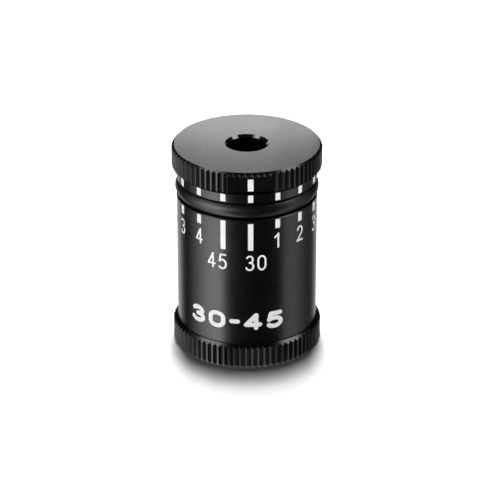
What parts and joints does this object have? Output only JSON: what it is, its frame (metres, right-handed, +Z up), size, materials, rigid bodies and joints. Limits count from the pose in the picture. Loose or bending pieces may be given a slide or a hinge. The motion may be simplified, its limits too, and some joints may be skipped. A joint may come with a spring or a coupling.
{
  "type": "adjustable ride height gauge",
  "caption": "Cylindrical gauge with a knurled knob that turns up out of a sleeve on a helical stem, so its top face sets a height above the table that is read on a ring scale.",
  "frame": {"origin": "centre of the base foot's flat underside", "axes": "+Z up along the knob's axis; -Y is the front, where the pointer stands on the scale's lowest mark at rest; +X is the way the scale counts up from there"},
  "size_m": [0.021, 0.021, 0.03],
  "materials": {
    "anodised_black": "turned aluminium, satin black anodised",
    "rubber_black": "smooth nitrile rubber",
    "bright_steel": "ground and hardened",
    "acetal": "machined natural acetal",
    "scale_white": "white filled engraving"
  },
  "bodies": {
    "housing": {"sleeve": "anodised_black", "base_foot": "anodised_black", "o_ring": "rubber_black", "guide_pin_1": "bright_steel", "guide_pin_2": "bright_steel", "guide_pin_3": "bright_steel"},
    "slider": {"guide_ring": "acetal"},
    "adjuster": {"stem": "anodised_black", "retaining_ring": "bright_steel", "knob": "anodised_black"}
  },
  "joints": [
    {"name": "knob_lift", "type": "slide", "parent": "housing", "child": "slider", "axis": [0, 0, 1], "range_m": [0, 0.015]},
    {"name": "knob_turn", "type": "hinge", "parent": "slider", "child": "adjuster", "pos_m": [0, 0, 0.015], "axis": [0, 0, 1], "range_deg": [0, 337.5]}
  ],
  "couplings": [
    {"joint": "knob_lift", "follows": "knob_turn", "m_per_rad": 0.0025465}
  ]
}
